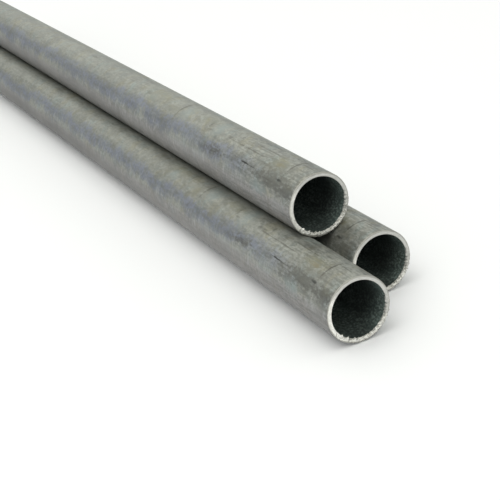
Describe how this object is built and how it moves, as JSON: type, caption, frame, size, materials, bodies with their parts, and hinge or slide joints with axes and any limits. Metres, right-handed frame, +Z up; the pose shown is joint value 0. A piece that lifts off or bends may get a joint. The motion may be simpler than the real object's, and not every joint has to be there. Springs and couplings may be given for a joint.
{
  "type": "stack of steel tubes",
  "caption": "Small stack of equal round galvanised steel tubes lying side by side with another in the groove on top, their square-cut open ends staggered.",
  "frame": {"origin": "on the floor, under the middle of the whole stack", "axes": "+X along the tubes, towards the staggered near ends with the front tube foremost; +Y from the front tube to the back tube; +Z up"},
  "size_m": [1.085, 0.0966, 0.0903],
  "materials": {
    "galvanised_steel": "dull mottled hot-dip zinc, bright sawn end rings, dark rough bores"
  },
  "bodies": {
    "root": {"tube_front": "galvanised_steel", "tube_back": "galvanised_steel", "tube_top": "galvanised_steel"}
  },
  "joints": []
}
